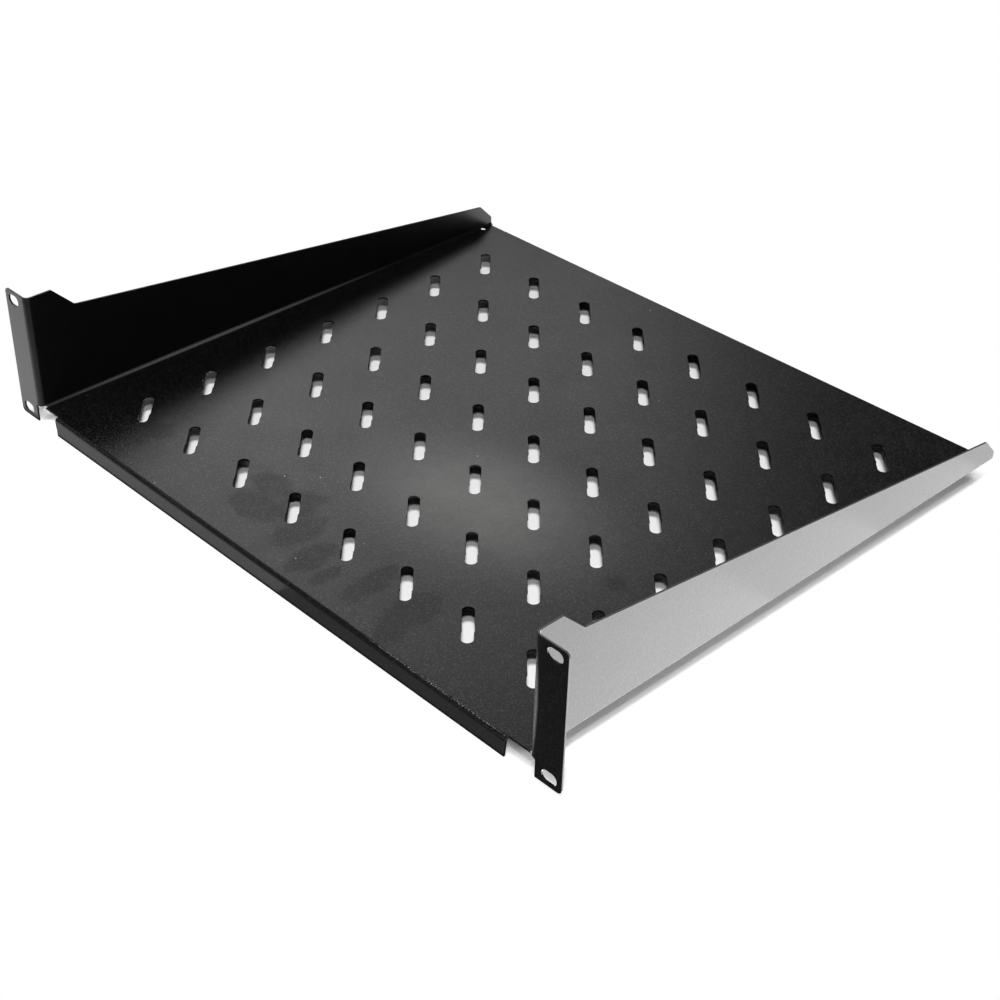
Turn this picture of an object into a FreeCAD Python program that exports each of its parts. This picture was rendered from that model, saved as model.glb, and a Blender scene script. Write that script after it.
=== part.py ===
import FreeCAD, Part
import math
import os

# Cantilever rack shelf for a 19 inch rack, two units high: one folded steel sheet.
# Millimetres. X runs across the rack, Y runs from the ears to the back, Z is up.
# The sections below are drawn from the front face of the ears (y = 0) and from the
# lower edge of the front lip (z = 0); the finished sheet is then centred in Y.

# --- sheet and bends ---
sheet = 1.2              # steel thickness
bend_in = 1.5            # inside radius of the side, front and back bends
ear_bend_in = 2.8        # inside radius of the softer bend between wall and ear
overlap = 1.4            # how far each fold reaches into the sheet it grows from

# --- rack standard, two units ---
rack_width = 482.6       # over the ears
panel_height = 88.1      # height of the ears
mount_edge = 8.75        # screw column to the outer edge of the ear
mount_end = 5.95         # outer screw to the end of the ear
mount_slot_length = 10.5
mount_slot_width = 7.0

# --- tray ---
depth = 395.0            # ear face to the back fold
ear_reach = 21.7         # ear beyond the side wall
deck_top = 12.7          # carrying face above the edge of the lip
ear_bottom = 1.6         # lower edge of the ears above the edge of the lip
ear_corner = 3.0         # radius of the two outer corners of each ear
tab_gap = 3.2            # below the deck the ear stands this far outside the wall
corner_slit = 0.5        # cut that frees the side bend from the ear bend
corner_set = 1.85        # plain edge beside the back fold, in front of its face

# --- side walls ---
shoulder = 18.7          # full height part behind the ear
step_run = 15.5          # slanted step after it
step_drop = 15.0
rear_height = 27.6       # where the rear chamfer starts, above the edge of the ears
rear_chamfer = 11.1
wall_foot = 11.5         # lower end of the ear bend, above the same
peak_round = 1.5
step_round = 3.0
rear_round = 2.5

# --- front lip and back fold ---
lip_gap = 17.2           # end of the lip to the outside of the side wall
lip_taper = 1.0          # each end draws in by this much at its lower edge

# --- ventilation slots ---
slot_columns = 8
slot_rows = 7
slot_length = 31.5
slot_width = 7.0
slot_turn = -45.0        # degrees: each runs from back left to front right
side_margin = 46.35      # outside of the wall to the first column
front_margin = 48.7      # ear face to the front row
back_margin = 49.3       # back fold to the last row
stroke_back = 24.3       # each slot is two strokes of the punch: a long one behind
stroke_front = 12.6      # and a short one in front, one slot length over both
stroke_shift = 0.1       # the strokes miss the slot's middle line by this much
stroke_skew = 1.6        # degrees: the long stroke is turned by this much

# --- relief holes at the back ends of the side bends ---
relief_hole = 4.0
relief_hole_side = 3.4   # from the outside of the wall
relief_hole_back = 10.3  # from the back fold

past = 5.0               # how far a cutting tool runs past the sheet

bend_out = bend_in + sheet
ear_bend_out = ear_bend_in + sheet
half = rack_width / 2 - ear_reach
edge = rack_width / 2
ear_top = ear_bottom + panel_height
deck_under = deck_top - sheet
foot = ear_bottom + wall_foot


def vec(x, y, z):
    return FreeCAD.Vector(x, y, z)


def plan(u, v):
    """A point of a plan outline, at the lower edge of the ears."""
    return vec(u, v, ear_bottom)


def front(u, v):
    """A point of an outline seen from the front, clear of the sheet."""
    return vec(u, -past, v)


def across(u, v):
    """A point of the section across the tray, at the end of the lip bend."""
    return vec(u, bend_out, v)


def mirrored(shape):
    return shape.mirror(vec(0, 0, 0), vec(1, 0, 0))


def box(x0, x1, y0, y1, z0, z1):
    return Part.makeBox(x1 - x0, y1 - y0, z1 - z0, vec(x0, y0, z0))


def fold(place, centre, a, b, leg_a, leg_b, inside):
    """Section of a right-angle fold: two legs of sheet joined by a bend about centre
    with this inside radius. a and b point from the centre to where the legs start;
    each leg runs away from the other's direction for its own length."""
    def at(radius, along_a, along_b):
        u = centre[0] + radius * (a[0] * along_a + b[0] * along_b)
        v = centre[1] + radius * (a[1] * along_a + b[1] * along_b)
        return u, v

    def run(point, away, length):
        return point[0] - away[0] * length, point[1] - away[1] * length

    sides = []
    for radius in (inside + sheet, inside):
        first = at(radius, 1, 0)
        middle = at(radius, math.sqrt(0.5), math.sqrt(0.5))
        last = at(radius, 0, 1)
        sides.append((run(first, b, leg_a), first, middle, last, run(last, a, leg_b)))
    outer, inner = [[place(*p) for p in side] for side in sides]
    edges = [Part.makeLine(outer[0], outer[1])]
    edges.append(Part.Arc(outer[1], outer[2], outer[3]).toShape())
    edges.append(Part.makeLine(outer[3], outer[4]))
    edges.append(Part.makeLine(outer[4], inner[4]))
    edges.append(Part.makeLine(inner[4], inner[3]))
    edges.append(Part.Arc(inner[3], inner[2], inner[1]).toShape())
    edges.append(Part.makeLine(inner[1], inner[0]))
    edges.append(Part.makeLine(inner[0], outer[0]))
    return Part.Face(Part.Wire(edges))


def rounded(corners, place):
    """Closed outline through corners (u, v, radius), each rounded by its own radius."""
    rounds = []
    for i, (u1, v1, radius) in enumerate(corners):
        u0, v0, _ = corners[i - 1]
        u2, v2, _ = corners[(i + 1) % len(corners)]
        back = vec(u0 - u1, v0 - v1, 0).normalize()
        ahead = vec(u2 - u1, v2 - v1, 0).normalize()
        half_turn = back.getAngle(ahead) / 2
        corner = vec(u1, v1, 0)
        run = radius / math.tan(half_turn)
        rise = radius / math.sin(half_turn) - radius
        middle = corner + (back + ahead).normalize() * rise
        rounds.append((corner + back * run, middle, corner + ahead * run))
    edges = []
    for i, (first, middle, last) in enumerate(rounds):
        following = rounds[(i + 1) % len(rounds)][0]
        if corners[i][2] > 0:
            three = [place(p.x, p.y) for p in (first, middle, last)]
            edges.append(Part.Arc(*three).toShape())
        edges.append(Part.makeLine(place(last.x, last.y), place(following.x, following.y)))
    return Part.Face(Part.Wire(edges))


def obround(length, width, centre, place):
    """Round-ended slot along u, about centre (u, v)."""
    u, v = centre
    r = width / 2
    a = length / 2 - r
    right = Part.Arc(place(u + a, v - r), place(u + a + r, v), place(u + a, v + r))
    left = Part.Arc(place(u - a, v + r), place(u - a - r, v), place(u - a, v - r))
    upper = Part.makeLine(place(u + a, v + r), place(u - a, v + r))
    lower = Part.makeLine(place(u - a, v - r), place(u + a, v - r))
    return Part.Face(Part.Wire([lower, right.toShape(), upper, left.toShape()]))


# Tray: half of the deck, the side bend and the wall as one section, run from the lip
# bend to the back.
deck_end = half - bend_out
lip_end = half - lip_gap
side_centre = (deck_end, deck_under + bend_out)
wall_rise = ear_top - side_centre[1]
section = fold(across, side_centre, (0, -1), (1, 0), deck_end, wall_rise, bend_in)
tray = section.extrude(vec(0, depth - bend_out, 0))


# Side wall outline: full height behind the ear, a slanted step, a long straight taper
# and a chamfered rear end.
def beside(u, v):
    return vec(deck_end, u, v)


step_end = shoulder + step_run
taper_end = depth - rear_chamfer
outline = rounded([
    (ear_bend_out, 0, 0),
    (ear_bend_out, ear_top, 0),
    (shoulder, ear_top, peak_round),
    (step_end, ear_top - step_drop, step_round),
    (taper_end, ear_bottom + rear_height, rear_round),
    (depth, ear_bottom + rear_height - rear_chamfer, rear_round),
    (depth, 0, 0),
], beside)
side_zone = outline.extrude(vec(bend_out + past, 0, 0))
deck_zone = box(-past, deck_end, 0, depth - bend_out, 0, ear_top)
corner_start = lip_end + corner_slit
corner_zone = box(corner_start, deck_end, 0, depth - corner_set, 0, ear_top)
tray = tray.common(side_zone.fuse([deck_zone, corner_zone]))

# A slit at the front end of the side bend frees it from the ear bend.
slit_end = ear_bend_out + corner_slit
tray = tray.cut(box(deck_end, half + past, 0, slit_end, 0, foot))

# Ear: folded outward from the front edge of the wall, outer corners rounded. Below
# the deck only its flat goes on down.
ear_section = fold(plan, (half + ear_bend_in, ear_bend_out), (-1, 0), (0, -1),
                   overlap, ear_reach - ear_bend_in, ear_bend_in)
ear = ear_section.extrude(vec(0, 0, panel_height))
panel = rounded([
    (half - past, ear_bottom, 0),
    (edge, ear_bottom, ear_corner),
    (edge, ear_top, ear_corner),
    (half - past, ear_top, 0),
], front)
ear = ear.common(panel.extrude(vec(0, 3 * past, 0)))
ear = ear.cut(box(half - past, half + tab_gap, -past, 2 * past, 0, foot))

# One level slot for a rack screw near each end of the ear.
ear_middle = ear_bottom + panel_height / 2
for sign in (-1, 1):
    place_of = (edge - mount_edge, ear_middle + sign * (panel_height / 2 - mount_end))
    opening = obround(mount_slot_length, mount_slot_width, place_of, front)
    ear = ear.cut(opening.extrude(vec(0, 2 * past, 0)))

side = tray.fuse(ear)

# Small round relief hole in the side bend, near the back.
hole_at = vec(half - relief_hole_side, depth - relief_hole_back, deck_under - sheet)
side = side.cut(Part.makeCylinder(relief_hole / 2, 3 * sheet, hole_at))


# Front lip: the deck folded down between the ears, its ends drawn in a little toward
# the lower edge. The back edge is folded down the same way.
def lip_side(u, v):
    return vec(-lip_end, u, v)


lip_section = fold(lip_side, (bend_out, deck_top - bend_out), (0, 1), (-1, 0),
                   overlap, deck_top - bend_out, bend_in)
lip = lip_section.extrude(vec(2 * lip_end, 0, 0))
lip_shape = rounded([
    (-lip_end, deck_top, 0),
    (-lip_end, deck_top - bend_out, 0),
    (lip_taper - lip_end, 0, 0),
    (lip_end - lip_taper, 0, 0),
    (lip_end, deck_top - bend_out, 0),
    (lip_end, deck_top, 0),
], front)
lip = lip.common(lip_shape.extrude(vec(0, 3 * past, 0)))
back_fold = lip.mirror(vec(0, depth / 2, 0), vec(0, 1, 0))

shelf = side.fuse([mirrored(side), lip, back_fold]).removeSplitter()


# Ventilation slots: each is punched in two strokes that overlap. The long one is a
# little skew, so both long edges have a small step where the strokes meet.
def punch_plane(u, v):
    return vec(u, v, deck_under - past)


long_place = ((stroke_back - slot_length) / 2, stroke_shift)
short_place = ((slot_length - stroke_front) / 2, -stroke_shift)
long_stroke = obround(stroke_back, slot_width, long_place, punch_plane)
long_stroke.rotate(punch_plane(*long_place), vec(0, 0, 1), stroke_skew)
short_stroke = obround(stroke_front, slot_width, short_place, punch_plane)
thickness = vec(0, 0, sheet + 2 * past)
slot = long_stroke.extrude(thickness).fuse(short_stroke.extrude(thickness))
slot = slot.removeSplitter()
slot.rotate(vec(0, 0, 0), vec(0, 0, 1), slot_turn)

first_column = side_margin - half
column_pitch = -2 * first_column / (slot_columns - 1)
row_pitch = (depth - front_margin - back_margin) / (slot_rows - 1)
punches = []
for column in range(slot_columns):
    for row in range(slot_rows):
        punch = slot.copy()
        x = first_column + column * column_pitch
        y = front_margin + row * row_pitch
        punch.translate(vec(x, y, 0))
        punches.append(punch)
shelf = shelf.cut(Part.makeCompound(punches))

shelf.translate(vec(0, -depth / 2, 0))
if shelf.ShapeType == "Compound":
    shelf = shelf.Solids[0]

os.makedirs("parts", exist_ok=True)
shelf.exportStep("parts/shelf.step")
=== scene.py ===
import math

import bmesh
import bpy
from mathutils import Matrix, Vector


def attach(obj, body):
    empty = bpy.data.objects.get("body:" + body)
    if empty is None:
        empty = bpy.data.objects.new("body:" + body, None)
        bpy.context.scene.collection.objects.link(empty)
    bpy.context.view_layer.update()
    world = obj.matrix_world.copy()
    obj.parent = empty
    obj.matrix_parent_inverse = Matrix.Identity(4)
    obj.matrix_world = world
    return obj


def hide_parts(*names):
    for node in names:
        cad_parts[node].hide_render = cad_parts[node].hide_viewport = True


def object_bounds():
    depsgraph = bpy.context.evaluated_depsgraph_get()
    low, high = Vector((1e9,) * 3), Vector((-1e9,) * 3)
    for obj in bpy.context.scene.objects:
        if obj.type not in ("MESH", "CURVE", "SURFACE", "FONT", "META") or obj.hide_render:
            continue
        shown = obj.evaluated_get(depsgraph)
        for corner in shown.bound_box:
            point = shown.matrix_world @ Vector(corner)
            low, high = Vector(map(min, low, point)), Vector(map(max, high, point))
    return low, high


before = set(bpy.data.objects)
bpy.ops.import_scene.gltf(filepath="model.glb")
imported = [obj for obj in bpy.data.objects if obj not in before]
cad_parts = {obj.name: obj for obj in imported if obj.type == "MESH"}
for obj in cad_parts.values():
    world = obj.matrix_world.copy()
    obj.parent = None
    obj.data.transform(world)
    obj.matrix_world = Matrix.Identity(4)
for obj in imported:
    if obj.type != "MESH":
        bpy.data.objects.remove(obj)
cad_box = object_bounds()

scene = bpy.context.scene

# ---- The coated sheet ----
# One blank of 1.2 mm cold rolled steel, punched flat and then folded on a press brake.
# Black polyester powder, sprayed on and baked, covers it with a fine hard grain and leaves
# its sheared and punched edges slightly round.
WELD = 0.000005
EDGE_ROUND = 0.00015
CUT_ANGLE = math.radians(38)
CREASE_ANGLE = math.radians(32)
UPWARD = 0.3
WALL_FOOT = 0.020
CUT_LENGTH = 0.010
EAR_CORNER = 0.086

bm = bmesh.new()
bm.from_mesh(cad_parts["shelf"].data)
bmesh.ops.remove_doubles(bm, verts=bm.verts, dist=WELD)
cut_edges = []
for edge in bm.edges:
    if len(edge.link_faces) == 2 and edge.calc_face_angle(0) > CUT_ANGLE:
        cut_edges.append(edge)

# The sheared tops of the walls and ears look up, above the deck. Their faces are long, or
# lie at the upper corners of the ears. The short ones below are the sills of the slots.
top_cut = bm.faces.layers.int.new("top_cut")
for face in bm.faces:
    height = face.calc_center_median().z
    longest = max(edge.calc_length() for edge in face.edges)
    if face.normal.z > UPWARD and height > WALL_FOOT:
        face[top_cut] = longest > CUT_LENGTH or height > EAR_CORNER

bevel = bmesh.ops.bevel(
    bm,
    geom=cut_edges,
    offset=EDGE_ROUND,
    offset_type="OFFSET",
    segments=2,
    profile=0.5,
    affect="EDGES",
    clamp_overlap=False,
    material=-1,
)
rounded = set(bevel["faces"])

# The powder reads these two: where the edges are round, which take a painted dark line,
# and the sheared tops that look up, which take a painted highlight.
rim = bm.loops.layers.float.new("rim")
top_highlight = bm.loops.layers.float.new("top_highlight")
for face in bm.faces:
    face.smooth = True
    for loop in face.loops:
        loop[rim] = face in rounded
        loop[top_highlight] = face[top_cut] and face not in rounded
for edge in bm.edges:
    edge.smooth = len(edge.link_faces) == 2 and edge.calc_face_angle(0) < CREASE_ANGLE

sheet_mesh = bpy.data.meshes.new("coated_sheet")
bm.to_mesh(sheet_mesh)
bm.free()
sheet = bpy.data.objects.new("coated_sheet", sheet_mesh)
scene.collection.objects.link(sheet)
flatten = sheet.modifiers.new("flat faces stay flat", "WEIGHTED_NORMAL")
flatten.keep_sharp = True
flatten.weight = 100
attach(sheet, "root")
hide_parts("shelf")

# The powder: its colours, its sheen, and how far its gloss goes up and down.
COAT_BLACK = (0.0014, 0.0014, 0.0015, 1)
BEAD_GREY = (0.032, 0.032, 0.0325, 1)
# Plain dark tone of the rounded edges, without beads: a painted dark line along the edges.
RIM_SHADE_BLACK = (0.004, 0.004, 0.0042, 1)
# Pale grey of the sheared tops that look up: a painted highlight.
TOP_HIGHLIGHT_GREY = (0.05, 0.05, 0.051, 1)
# Pale grey of the real dust flecks and of the painted highlights on the deck and the bends.
DUST_AND_HIGHLIGHT_GREY = (0.42, 0.42, 0.4, 1)
COAT_IOR = 1.45
SHEEN_LOW = 0.28
SHEEN_HIGH = 0.36
MARK_SHEEN = 0.04
GLOSS = 0.25
BEAD_SPREAD = 0.06
CLOUD_SPREAD = 0.05
MARK_GLOSS = 0.84
# The painted highlight in the middle of the deck is glossier too.
DECK_HIGHLIGHT_GLOSS = 1.5
RIM_GLOSS = 0.35

# Its patterns, in cells per metre, the span that their values mostly have, and what each
# adds. Of a hundred fleck cells, 93 are bare.
GRAIN_SCALE = 1150
BEAD_SCALE = 1300
SPECKLE_SCALE = 1500
CLOUD_SCALE = 38
RAGGED_SCALE = 80
FLECK_SCALE = 130
NOISE_SPAN = (0.3, 0.7)
GRAIN_STRENGTH = 1.0
GRAIN_DEPTH = 0.00007
RAGGED_REACH = 0.02
# Painted shade: the share of grey beads left on upright faces and by the left wall.
BEADS_UPRIGHT_SHADED = 0.35
BEADS_LEFT_SHADED = 0.36
# How strongly the painted highlights show: the patch in the middle of the deck, the line at the
# left wall's foot, and the bends of the lip and the right ear.
DECK_HIGHLIGHT_SHARE = 0.10
LEFT_FOOT_HIGHLIGHT_SHARE = 0.13
BEND_HIGHLIGHT_SHARE = 0.36
FLECK_BARE = 0.93
FLECK_SIZE = 0.055

# Dull marks that hands have left on the deck: middle and half size of each, in X and Y.
DECK_TOP = 0.0127
MARK_DEPTH = 0.01
HAND_MARKS = (
    (-0.170, -0.173, 0.028, 0.022), (-0.150, -0.159, 0.013, 0.011),
    (-0.052, -0.142, 0.016, 0.011), (-0.024, -0.146, 0.012, 0.018),
    (-0.040, -0.163, 0.020, 0.013), (-0.004, -0.160, 0.011, 0.020),
    (0.020, -0.172, 0.010, 0.016), (0.039, -0.176, 0.006, 0.012),
    (0.061, -0.164, 0.009, 0.021), (0.094, -0.162, 0.012, 0.022),
    (0.101, -0.183, 0.008, 0.012), (0.151, -0.064, 0.006, 0.007),
)

# Painted highlights: a pale patch in the middle of the deck, a pale line along the foot of the
# left wall, glints on the bend of the lip and a highlight on the bend of the right ear. Middle
# and half size of each.
DECK_HIGHLIGHT = ((0.045, -0.065, 0.0127), (0.075, 0.050, 0.01))
LEFT_FOOT_HIGHLIGHT = ((-0.2174, -0.070, 0.0134), (0.0018, 0.190, 0.0018))
LIP_GLINTS = ((0.150, -0.1957, 0.0124), (0.062, 0.0008, 0.001))
EAR_BEND_HIGHLIGHT = ((0.2197, -0.1967, 0.048), (0.0040, 0.0036, 0.040))

powder = bpy.data.materials.new("powder_black")
powder.use_nodes = True
nodes = powder.node_tree.nodes
links = powder.node_tree.links
coat = nodes["Principled BSDF"]
coat.inputs["IOR"].default_value = COAT_IOR


def add(kind, settings=None, **values):
    """A node of the powder, with its own settings and fixed inputs."""
    made = nodes.new("ShaderNode" + kind)
    for name, value in (settings or {}).items():
        setattr(made, name, value)
    for name, value in values.items():
        made.inputs[name.replace("_", " ")].default_value = value
    return made


def maths(operation, first, second=None, clamp=False, tree=powder.node_tree):
    """One sum, on numbers or on the outputs of other nodes."""
    made = tree.nodes.new("ShaderNodeMath")
    made.operation = operation
    made.use_clamp = clamp
    for socket, value in zip(made.inputs, (first, second)):
        if isinstance(value, (int, float)):
            socket.default_value = value
        elif value is not None:
            tree.links.new(value, socket)
    return made.outputs[0]


def spread(value, low, high, to_low=0.0, to_high=1.0, smooth=False, tree=powder.node_tree):
    """Maps low..high of a value onto to_low..to_high."""
    made = tree.nodes.new("ShaderNodeMapRange")
    made.interpolation_type = "SMOOTHSTEP" if smooth else "LINEAR"
    tree.links.new(value, made.inputs["Value"])
    for name, number in (("From Min", low), ("From Max", high),
                         ("To Min", to_low), ("To Max", to_high)):
        made.inputs[name].default_value = number
    return made.outputs["Result"]


place = add("TexCoord").outputs["Object"]


def noise(scale, detail, roughness):
    """A cloudy value round 0.5."""
    made = add("TexNoise", Scale=scale, Detail=detail, Roughness=roughness)
    links.new(place, made.inputs["Vector"])
    return made.outputs["Fac"]


def patch(middle, half, edge_low, edge_high, at=place):
    """1 inside an ellipsoid, 0 outside it. Its soft edge runs between two shares of it."""
    made = add("Mapping", {"vector_type": "TEXTURE"}, Location=middle, Scale=half)
    links.new(at, made.inputs["Vector"])
    size = add("VectorMath", {"operation": "LENGTH"})
    links.new(made.outputs["Vector"], size.inputs[0])
    return spread(size.outputs["Value"], edge_high, edge_low, smooth=True)


def over(under, colour, amount):
    """Lays a colour over another one, by an amount that changes over the sheet."""
    made = add("Mix", {"data_type": "RGBA"})
    made.inputs["B"].default_value = colour
    if isinstance(under, tuple):
        made.inputs["A"].default_value = under
    else:
        links.new(under, made.inputs["A"])
    links.new(amount, made.inputs["Factor"])
    return made.outputs["Result"]


# Grain: cured beads just under a millimetre across.
grain = noise(GRAIN_SCALE, 2.0, 0.6)
bump = add("Bump", Strength=GRAIN_STRENGTH, Distance=GRAIN_DEPTH)
links.new(grain, bump.inputs["Height"])
links.new(bump.outputs["Normal"], coat.inputs["Normal"])

# Hand marks with ragged edges: a noise moves them by up to half its reach either way.
wobble = add("TexNoise", Scale=RAGGED_SCALE, Detail=5.0, Roughness=0.65)
links.new(place, wobble.inputs["Vector"])
ragged = add("VectorMath", {"operation": "MULTIPLY_ADD"})
links.new(wobble.outputs["Color"], ragged.inputs[0])
ragged.inputs[1].default_value = (RAGGED_REACH, RAGGED_REACH, 0)
links.new(place, ragged.inputs[2])
marks = 0.0
for x, y, half_x, half_y in HAND_MARKS:
    middle = (x + RAGGED_REACH / 2, y + RAGGED_REACH / 2, DECK_TOP)
    mark = patch(middle, (half_x, half_y, MARK_DEPTH), 0.75, 1.2, ragged.outputs["Vector"])
    marks = maths("MAXIMUM", marks, mark)

# A painted highlight lies as a pale patch in the middle of the deck and as a pale line along
# the foot of the left wall. Real dust lies as single flecks.
cloud = noise(CLOUD_SCALE, 3.0, 0.55)
deck_highlight = maths("MULTIPLY", patch(*DECK_HIGHLIGHT, 0.0, 1.6), spread(cloud, *NOISE_SPAN, 0.7, 1.3))
left_foot_highlight = maths("MULTIPLY", patch(*LEFT_FOOT_HIGHLIGHT, 0.2, 1.0), LEFT_FOOT_HIGHLIGHT_SHARE)
cells = add("TexVoronoi", Scale=FLECK_SCALE, Randomness=1.0)
links.new(place, cells.inputs["Vector"])
pick = add("SeparateColor")
links.new(cells.outputs["Color"], pick.inputs["Color"])
chosen = maths("GREATER_THAN", pick.outputs["Red"], FLECK_BARE)
fleck_size = maths("MULTIPLY", pick.outputs["Green"], FLECK_SIZE)
fleck = maths("MULTIPLY", chosen, maths("LESS_THAN", cells.outputs["Distance"], fleck_size))

# Painted glints in specks on the lip's bend, and a painted highlight in specks on the right
# ear's bend.
speckle = noise(SPECKLE_SCALE, 1.0, 0.5)
lip_glints = maths("MULTIPLY", patch(*LIP_GLINTS, 0.7, 1.0), spread(speckle, 0.5, 0.66))
ear_bend_highlight = maths("MULTIPLY", patch(*EAR_BEND_HIGHLIGHT, 0.55, 1.0), spread(speckle, 0.2, 0.6))
bend_highlights = maths("MULTIPLY", maths("MAXIMUM", lip_glints, ear_bend_highlight), BEND_HIGHLIGHT_SHARE)

# Sheen: cloudy, lively bead by bead, and rougher under the marks.
sheen = maths("ADD", maths("MULTIPLY", cloud, 0.6), maths("MULTIPLY", grain, 0.4))
sheen = spread(sheen, *NOISE_SPAN, SHEEN_LOW, SHEEN_HIGH)
sheen = maths("ADD", sheen, maths("MULTIPLY", marks, MARK_SHEEN))
links.new(sheen, coat.inputs["Roughness"])

# Gloss: lower under the marks and on the rounded edges, higher under the painted highlight in
# the middle of the deck.
on_rim = add("Attribute", {"attribute_name": "rim"}).outputs["Fac"]
beads = spread(grain, *NOISE_SPAN, 1 - BEAD_SPREAD, 1 + BEAD_SPREAD)
dull, bright = (1 - CLOUD_SPREAD) * GLOSS, (1 + CLOUD_SPREAD) * GLOSS
gloss = spread(cloud, *NOISE_SPAN, dull, bright)
gloss = maths("MULTIPLY", beads, gloss)
for mask, share in ((marks, MARK_GLOSS), (deck_highlight, DECK_HIGHLIGHT_GLOSS), (on_rim, RIM_GLOSS)):
    gloss = maths("MULTIPLY", gloss, spread(mask, 0, 1, 1, share))
coat.inputs["Specular IOR Level"].default_value = GLOSS
links.new(gloss, coat.inputs["Specular IOR Level"])

# Colour: grey beads of the grain, fewer on upright faces than on faces that look up, and fewer
# by the left wall, which is painted shade.
# The rounded edges take one plain dark tone without beads, a painted dark line, and the sheared
# tops that look up are paler, a painted highlight.
# The painted highlights and the real dust flecks are paler still.
facing = add("SeparateXYZ")
links.new(add("NewGeometry").outputs["Normal"], facing.inputs["Vector"])
across = add("SeparateXYZ")
links.new(place, across.inputs["Vector"])
# Grey beads, fewer on upright faces and by the left wall: painted shade.
beads_with_painted_shade = maths("MULTIPLY", spread(noise(BEAD_SCALE, 1.0, 0.5), 0.53, 0.74),
                spread(facing.outputs["Z"], 0.5, 0.9, BEADS_UPRIGHT_SHADED, 1.0))
beads_with_painted_shade = maths("MULTIPLY", beads_with_painted_shade, spread(across.outputs["X"], -0.19, -0.13, BEADS_LEFT_SHADED, 1.0))
# The sheared tops that look up are painted paler, a painted highlight.
on_painted_top = add("Attribute", {"attribute_name": "top_highlight"}).outputs["Fac"]
# Pale grey on the painted highlights and on the real dust flecks.
deck_highlight_tint = maths("MULTIPLY", maths("MULTIPLY", deck_highlight, beads), DECK_HIGHLIGHT_SHARE)
dust_and_highlights = maths("ADD", deck_highlight_tint, fleck, clamp=True)
dust_and_highlights = maths("MAXIMUM", maths("MAXIMUM", dust_and_highlights, left_foot_highlight), bend_highlights)
tint = over(COAT_BLACK, BEAD_GREY, beads_with_painted_shade)
# The rounded edges take one plain dark tone: a painted dark line.
tint = over(tint, RIM_SHADE_BLACK, on_rim)
tint = over(tint, TOP_HIGHLIGHT_GREY, on_painted_top)
tint = over(tint, DUST_AND_HIGHLIGHT_GREY, dust_and_highlights)
links.new(tint, coat.inputs["Base Color"])
sheet_mesh.materials.append(powder)

# ---- The floor ----
# A seamless sweep of plain white paper, much larger than the shelf. To the eye it is pure
# white beyond the shelf's footprint, and the coat mirrors only a little of it.
FLOOR_WHITE = (0.93, 0.93, 0.93, 1)
FLOOR_ROUGHNESS = 0.9
FLOOR_SIZE = 40.0
FOOTPRINT = (("X", cad_box[1][0]), ("Y", 0.186))
FADE_FROM = -0.002
FADE_TO = 0.015
MIRRORED_FLOOR = 0.12

floor_mesh = bpy.data.meshes.new("floor")
bm = bmesh.new()
bmesh.ops.create_grid(bm, x_segments=1, y_segments=1, size=FLOOR_SIZE / 2)
bm.to_mesh(floor_mesh)
bm.free()
floor = bpy.data.objects.new("floor", floor_mesh)
scene.collection.objects.link(floor)

paper = bpy.data.materials.new("floor_white")
paper.use_nodes = True
paper_tree = paper.node_tree
surface = paper_tree.nodes["Principled BSDF"]
surface.inputs["Base Color"].default_value = FLOOR_WHITE
surface.inputs["Roughness"].default_value = FLOOR_ROUGHNESS
surface.inputs["Specular IOR Level"].default_value = 0.0
plain = paper_tree.nodes.new("ShaderNodeEmission")
plain.inputs["Color"].default_value = (1, 1, 1, 1)
plain.inputs["Strength"].default_value = 1.0
black = paper_tree.nodes.new("ShaderNodeBsdfDiffuse")
black.inputs["Color"].default_value = (0, 0, 0, 1)


def blend(share, first, second):
    """Mixes two shaders of the floor."""
    made = paper_tree.nodes.new("ShaderNodeMixShader")
    for value, socket in zip((share, first, second), made.inputs):
        paper_tree.links.new(value, socket)
    return made.outputs["Shader"]


spot = paper_tree.nodes.new("ShaderNodeTexCoord")
split = paper_tree.nodes.new("ShaderNodeSeparateXYZ")
paper_tree.links.new(spot.outputs["Object"], split.inputs["Vector"])
beyond = []
for axis, reach in FOOTPRINT:
    distance = maths("ABSOLUTE", split.outputs[axis], tree=paper_tree)
    beyond.append(maths("SUBTRACT", distance, reach, tree=paper_tree))
outside = maths("MAXIMUM", *beyond, tree=paper_tree)
outside = spread(outside, FADE_FROM, FADE_TO, smooth=True, tree=paper_tree)
view = paper_tree.nodes.new("ShaderNodeLightPath")
whole = maths("MULTIPLY", outside, view.outputs["Is Camera Ray"], tree=paper_tree)
hidden = maths("MULTIPLY", view.outputs["Is Glossy Ray"], 1 - MIRRORED_FLOOR, tree=paper_tree)
sweep = blend(whole, surface.outputs["BSDF"], plain.outputs["Emission"])
sweep = blend(hidden, sweep, black.outputs["BSDF"])
paper_tree.links.new(sweep, paper_tree.nodes["Material Output"].inputs["Surface"])
floor_mesh.materials.append(paper)

# ---- Light ----
# Two round keys hang over the camera's place, one high and one lower. Soft windows stand on
# the left, and low cards on the left, on the right and in front. Boards on the floor by the
# right wall, the left ear, the lip and the back throw their light up.
ROOM_GLOW = 0.06
OVER_CAMERA = (0.67, -0.67)
CARD_DISTANCE = 3.0
BOARD_HEIGHT = 0.001
WALL_BOARD_X = 0.4205
WALL_BOARD_WIDTH = 0.4

world = bpy.data.worlds.new("studio")
scene.world = world
world.use_nodes = True
room = world.node_tree
glow = room.nodes["Background"]
glow.inputs["Color"].default_value = (1, 1, 1, 1)
path = room.nodes.new("ShaderNodeLightPath")
seen = maths("MAXIMUM", path.outputs["Is Camera Ray"], path.outputs["Is Transmission Ray"],
             tree=room)
room.links.new(spread(seen, 0, 1, ROOM_GLOW, 1.0, tree=room), glow.inputs["Strength"])


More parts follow.
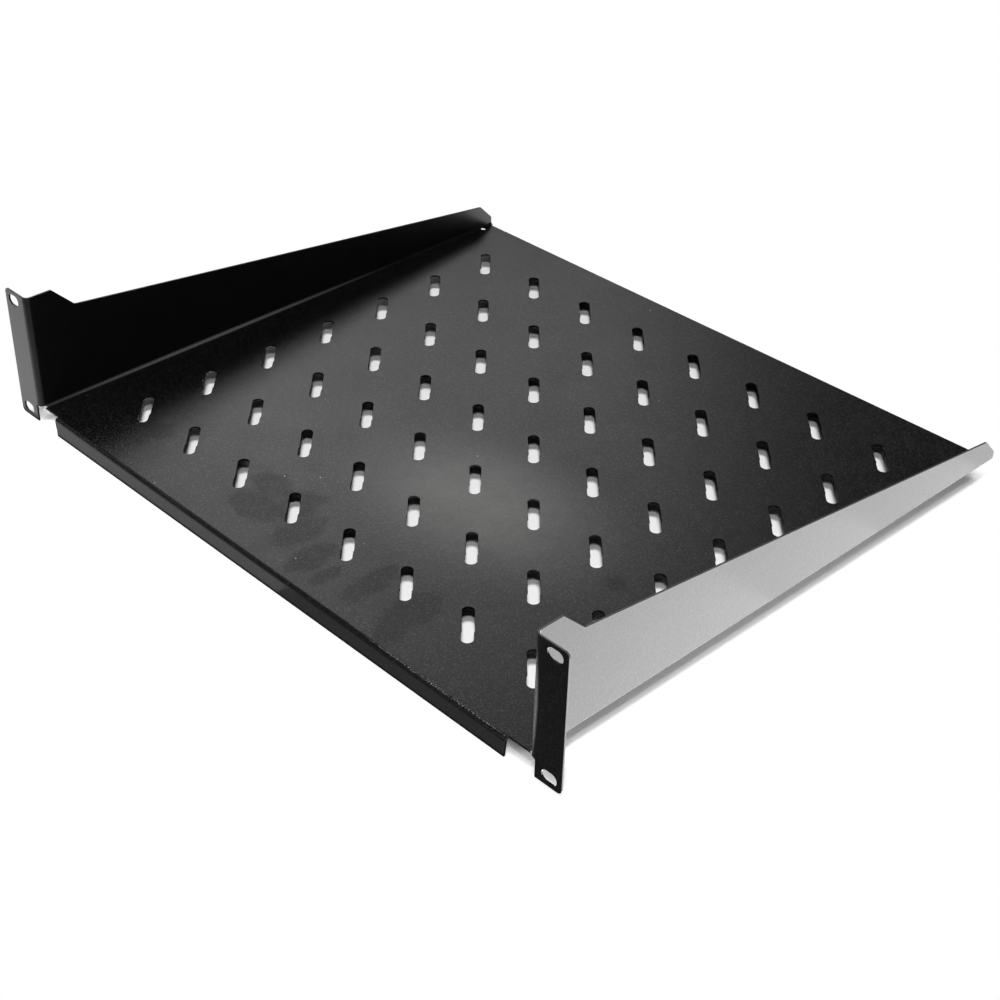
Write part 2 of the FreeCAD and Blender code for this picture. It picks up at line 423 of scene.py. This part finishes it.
def direction(azimuth, elevation):
    """Unit vector toward a lamp. Azimuth 0 is in front, 90 on the right."""
    a, e = math.radians(azimuth), math.radians(elevation)
    return Vector((math.sin(a) * math.cos(e), -math.cos(a) * math.cos(e), math.sin(e)))


def hang(lamp, point, back):
    """Puts a lamp at a point. Its back looks along back, and it shines the other way."""
    turn = back.to_track_quat("Z", "Y").to_matrix().to_4x4()
    holder = bpy.data.objects.new(lamp.name, lamp)
    holder.matrix_world = Matrix.Translation(point) @ turn
    scene.collection.objects.link(holder)
    holder.visible_camera = False
    return holder


def disk(name, point, width, radiance):
    """A round lamp that is aimed at the shelf's origin."""
    lamp = bpy.data.lights.new(name, "AREA")
    lamp.shape = "DISK"
    lamp.size = width
    lamp.energy = radiance * math.pi * math.pi * width ** 2 / 4
    return hang(lamp, point, point)


def card(name, point, back, size, radiance):
    """A flat rectangular lamp."""
    lamp = bpy.data.lights.new(name, "AREA")
    lamp.shape = "RECTANGLE"
    lamp.size, lamp.size_y = size
    lamp.energy = radiance * math.pi * size[0] * size[1]
    return hang(lamp, point, back)


def board(name, x, y, size, radiance):
    """A card that lies on the floor and shines up."""
    return card(name, Vector((x, y, BOARD_HEIGHT)), Vector((0, 0, -1)), size, radiance)


disk("key", Vector((*OVER_CAMERA, 2.9)), 0.64, 60.5)
disk("second", Vector((*OVER_CAMERA, 1.13)), 0.155, 96.0)
for name, azimuth, elevation, size, radiance in (
    ("window", -131, 34, (1.2, 1.0), 3.05),
    ("window_left", -112, 32, (1.2, 1.0), 1.9),
    ("left_front", -78, 34, (1.4, 1.0), 1.0),
    ("low_left", -98, 9, (1.0, 0.6), 5.5),
    ("side", 85, 16, (1.0, 0.8), 7.0),
    ("front", -8, 17, (1.0, 0.8), 12.0),
):
    back = direction(azimuth, elevation)
    card(name, back * CARD_DISTANCE, back, size, radiance)

# The board by the right wall is in four, each weaker than the one in front of it.
for name, front, rear, radiance in (
    ("strip_wall_a", -0.196, 0.0, 8.3), ("strip_wall_b", 0.0, 0.1, 7.2),
    ("strip_wall_c", 0.1, 0.2, 6.2), ("strip_wall_d", 0.2, 0.6, 5.1),
):
    board(name, WALL_BOARD_X, (front + rear) / 2, (WALL_BOARD_WIDTH, rear - front), radiance)
for name, x, y, size, radiance in (
    ("strip_ear", -0.37, -0.275, (0.3, 0.15), 1.9),
    ("strip_lip", -0.10, -0.258, (0.24, 0.12), 0.95),
    ("strip_lip_right", 0.11, -0.2065, (0.18, 0.017), 0.3),
    ("strip_back", -0.12, 0.29, (0.2, 0.16), 4.0),
):
    board(name, x, y, size, radiance)

# Two small cards light the floor at the foot of the right wall and by the left ear. The
# coat doesn't mirror them.
foot = card("foot", Vector((0.29, 0, 0.07)), Vector((0.77, 0, 0.64)), (0.42, 0.03), 2.2)
gap = card("gap", Vector((-0.25, -0.32, 0.065)), Vector((-0.2, -0.85, 0.5)), (0.1, 0.05), 24.0)
foot.visible_glossy = gap.visible_glossy = False

# ---- Camera ----
# Stands front right of the shelf and above it, with its frame moved off its axis.
LENS = 65.0
SENSOR = 36.0
SHIFT_X = 0.0712
SHIFT_Y = 0.0586
FARTHEST = 100.0
STAND = (0.66966, -0.67348, 0.60971)
HEADING = math.radians(47.719)
DOWNWARD = math.radians(36.173)

camera_data = bpy.data.cameras.new("camera")
camera_data.sensor_width = SENSOR
camera_data.lens = LENS
camera_data.shift_x = SHIFT_X
camera_data.shift_y = SHIFT_Y
camera_data.clip_end = FARTHEST
camera = bpy.data.objects.new("camera", camera_data)
camera.location = STAND
camera.rotation_euler = (math.pi / 2 - DOWNWARD, 0, HEADING)
scene.collection.objects.link(camera)
scene.camera = camera
scene.view_settings.view_transform = "Standard"
